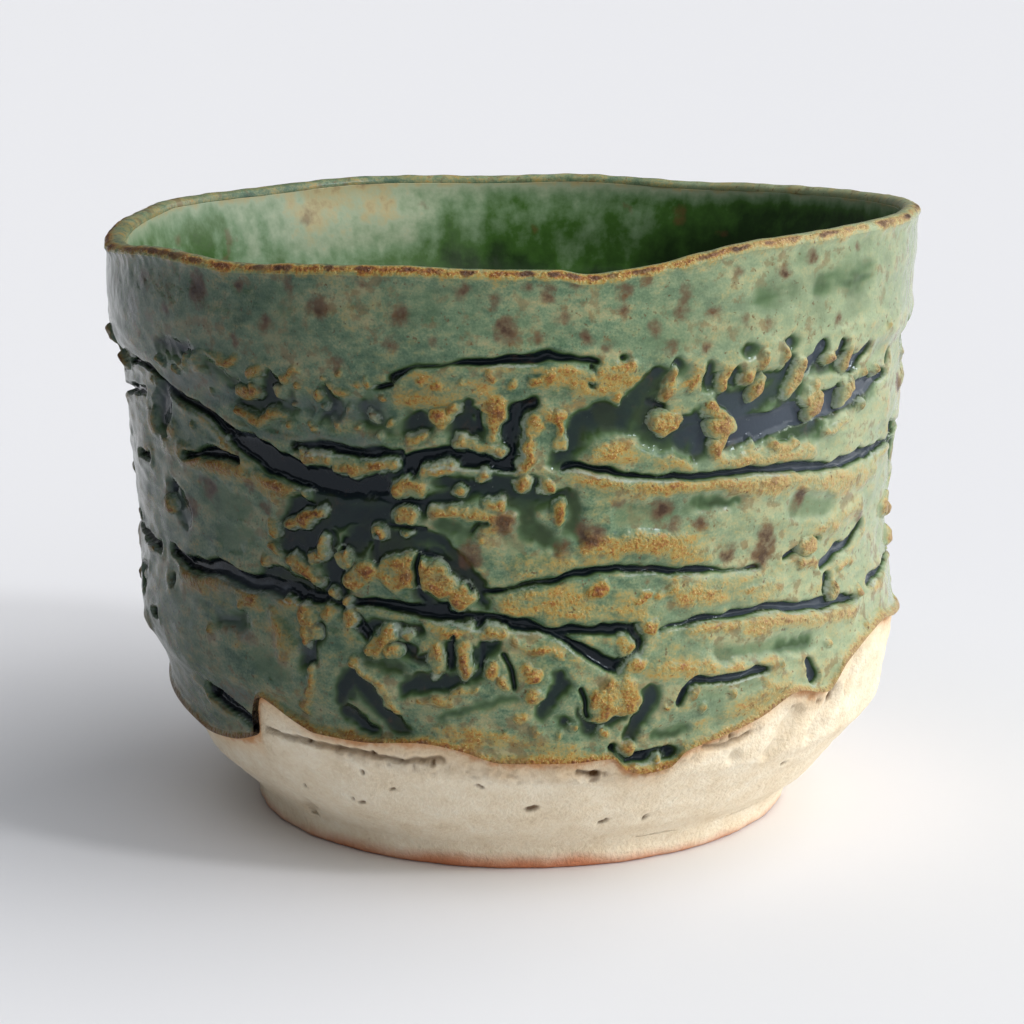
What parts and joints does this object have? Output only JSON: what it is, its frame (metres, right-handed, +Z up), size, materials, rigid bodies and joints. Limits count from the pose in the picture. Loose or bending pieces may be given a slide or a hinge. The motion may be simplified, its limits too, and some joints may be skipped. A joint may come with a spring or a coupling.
{
  "type": "sake cup",
  "caption": "Squat hand-made stoneware sake cup with a torn, green-glazed outer skin, a smooth wavy lip, a bare clay heel and a turned foot ring.",
  "frame": {"origin": "on the table under the middle of the mouth", "axes": "+Z up along the cup's axis, -Y towards the front that the picture shows, +X to its right"},
  "size_m": [0.0644, 0.0644, 0.0483],
  "materials": {
    "bare_clay": "unglazed stoneware, dry and slightly sandy",
    "foot_clay": "unglazed stoneware with an orange flash from the kiln",
    "torn_skin": "thin copper-green glaze, breaking to amber on the peaks",
    "crumbs": "thin amber glaze over clay lumps",
    "tear_glass": "thick dark green glass, glossy",
    "lip_coat": "smooth celadon green glaze with brown iron spots",
    "rim_bead": "thin brown glaze",
    "inner_coat": "glossy green glaze with runs",
    "well_glass": "thick bottle-green glass, glossy"
  },
  "bodies": {
    "root": {"clay_body": "bare_clay", "foot_ring": "foot_clay", "torn_skin_lower": "torn_skin", "torn_skin_middle": "torn_skin", "torn_skin_upper": "torn_skin", "clay_crumbs": "crumbs", "fissure_glaze_lower": "tear_glass", "fissure_glaze_upper": "tear_glass", "ledge_glaze": "tear_glass", "lip_glaze": "lip_coat", "rim_glaze": "rim_bead", "inner_glaze": "inner_coat", "well_glaze": "well_glass"}
  },
  "joints": []
}
